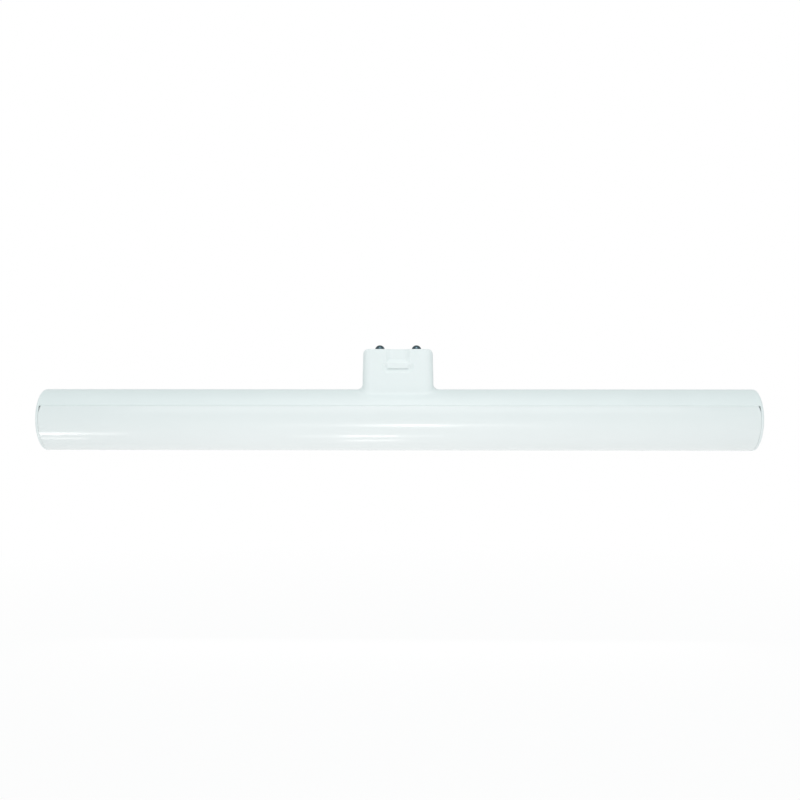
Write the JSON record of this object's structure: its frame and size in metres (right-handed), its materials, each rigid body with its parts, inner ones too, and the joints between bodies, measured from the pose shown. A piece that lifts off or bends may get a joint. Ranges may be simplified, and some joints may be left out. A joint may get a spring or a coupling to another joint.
{
  "type": "tubular light bulb",
  "caption": "Straight white tubular LED lamp with a rectangular plug cap in the middle, domed contact studs on the cap and a glossy opal cover along the tube.",
  "frame": {"origin": "middle of the cap's flat top face, between the contact studs, where the lamp seats in its holder", "axes": "+X along the tube, +Y towards the lamp's back, +Z out of the cap, the way the holder leaves"},
  "size_m": [0.3, 0.026, 0.0447],
  "materials": {
    "white_housing": "satin white moulding",
    "opal_diffuser": "glossy opal",
    "plated_contact": "nickel plated, slightly worn",
    "tinned_copper": "tinned",
    "white_board": "white solder mask",
    "led_phosphor": "phosphor gel in a white frame",
    "green_board": "green solder mask",
    "capacitor_sleeve": "shrunk sleeve",
    "resistor_coat": "lacquer",
    "ferrite": "pressed ferrite",
    "black_epoxy": "moulded epoxy"
  },
  "bodies": {
    "root": {"housing": "white_housing", "diffuser": "opal_diffuser", "contact_studs": "plated_contact", "contact_leads": "tinned_copper", "led_board": "white_board", "led_packages": "led_phosphor", "driver_board": "green_board", "link_pins": "tinned_copper", "bulk_capacitor": "capacitor_sleeve", "fuse_resistor": "resistor_coat", "choke": "ferrite", "driver_chip": "black_epoxy", "bridge_rectifier": "black_epoxy"}
  },
  "joints": []
}
